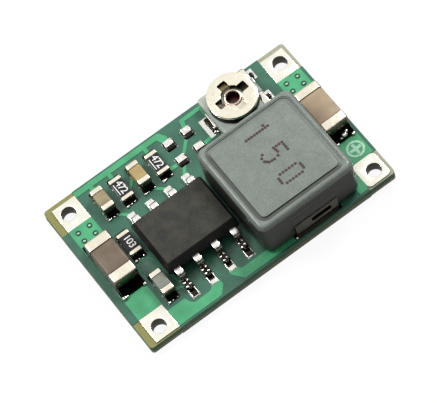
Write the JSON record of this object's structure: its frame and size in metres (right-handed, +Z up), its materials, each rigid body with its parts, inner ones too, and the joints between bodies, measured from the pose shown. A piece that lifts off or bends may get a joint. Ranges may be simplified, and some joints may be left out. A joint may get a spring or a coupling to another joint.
{
  "type": "buck converter module",
  "caption": "Small step-down converter board with a controller chip, moulded power inductor, one-turn trimmer with a turning rotor, chip capacitors and resistors, and plated corner holes.",
  "frame": {"origin": "under the middle of the board, on the plane that its underside rests on", "axes": "+X along the board's long side from input to output, +Z up from the underside through the parts"},
  "size_m": [0.017, 0.011, 0.0038],
  "materials": {
    "laminate": "glass-epoxy laminate, bare at the corners and edges",
    "copper": "copper foil, hidden under the mask",
    "solder_mask": "green solder mask, brighter over copper",
    "ink": "pale printed ink",
    "tinned_land": "hot-tinned copper land, bright satin",
    "chip_epoxy": "moulded epoxy, fine speckle",
    "lead_tin": "tin-plated lead frame",
    "solder": "reflowed solder, bright",
    "inductor_moulding": "pressed iron powder with a matt grey coat",
    "strap_tin": "tin-plated copper strap",
    "input_ceramic": "brown capacitor ceramic",
    "output_ceramic": "tan capacitor ceramic",
    "end_cap_tin": "tin-plated end cap, satin",
    "tan_ceramic": "tan capacitor ceramic",
    "amber_ceramic": "amber capacitor ceramic",
    "grey_ceramic": "grey capacitor ceramic",
    "alumina": "white alumina",
    "resistor_glaze": "black glaze over the resistor film",
    "trimmer_ceramic": "pale grey ceramic",
    "carbon_track": "printed resistive film",
    "trimmer_tin": "tin-plated terminal",
    "rivet_brass": "nickel-flashed brass rivet",
    "rotor_plate": "plated pressed rotor, satin"
  },
  "bodies": {
    "board": {"woven_laminate": "laminate", "top_copper": "copper", "bottom_copper": "copper", "top_solder_mask": "solder_mask", "bottom_solder_mask": "solder_mask", "polarity_mark": "ink", "vias": "copper", "terminal_in_negative": "tinned_land", "terminal_in_positive": "tinned_land", "terminal_out_negative": "tinned_land", "terminal_out_positive": "tinned_land", "controller_body": "chip_epoxy", "controller_leads": "lead_tin", "controller_solder": "solder", "inductor_body": "inductor_moulding", "inductor_switch_strap": "strap_tin", "inductor_output_strap": "strap_tin", "inductor_solder": "solder", "input_capacitor_body": "input_ceramic", "input_capacitor_ends": "end_cap_tin", "output_capacitor_body": "output_ceramic", "output_capacitor_ends": "end_cap_tin", "feedforward_capacitor_body": "tan_ceramic", "feedforward_capacitor_ends": "end_cap_tin", "compensation_capacitor_body": "amber_ceramic", "compensation_capacitor_ends": "end_cap_tin", "bootstrap_capacitor_body": "grey_ceramic", "bootstrap_capacitor_ends": "end_cap_tin", "upper_resistor_substrate": "alumina", "upper_resistor_coat": "resistor_glaze", "upper_resistor_ends": "end_cap_tin", "lower_resistor_substrate": "alumina", "lower_resistor_coat": "resistor_glaze", "lower_resistor_ends": "end_cap_tin", "enable_resistor_substrate": "alumina", "enable_resistor_coat": "resistor_glaze", "enable_resistor_ends": "end_cap_tin", "chip_part_solder": "solder", "spare_pad_solder": "solder", "trimmer_base": "trimmer_ceramic", "trimmer_track": "carbon_track", "trimmer_wiper_terminal": "trimmer_tin", "trimmer_end_terminals": "trimmer_tin", "trimmer_rivet": "rivet_brass", "trimmer_solder": "solder"},
    "rotor": {"trimmer_rotor": "rotor_plate"}
  },
  "joints": [
    {"name": "trimmer_turn", "type": "hinge", "parent": "board", "child": "rotor", "pos_m": [0.004, 0.0038, 0.0018], "axis": [0, 0, 1], "range_deg": [-115, 115]}
  ]
}
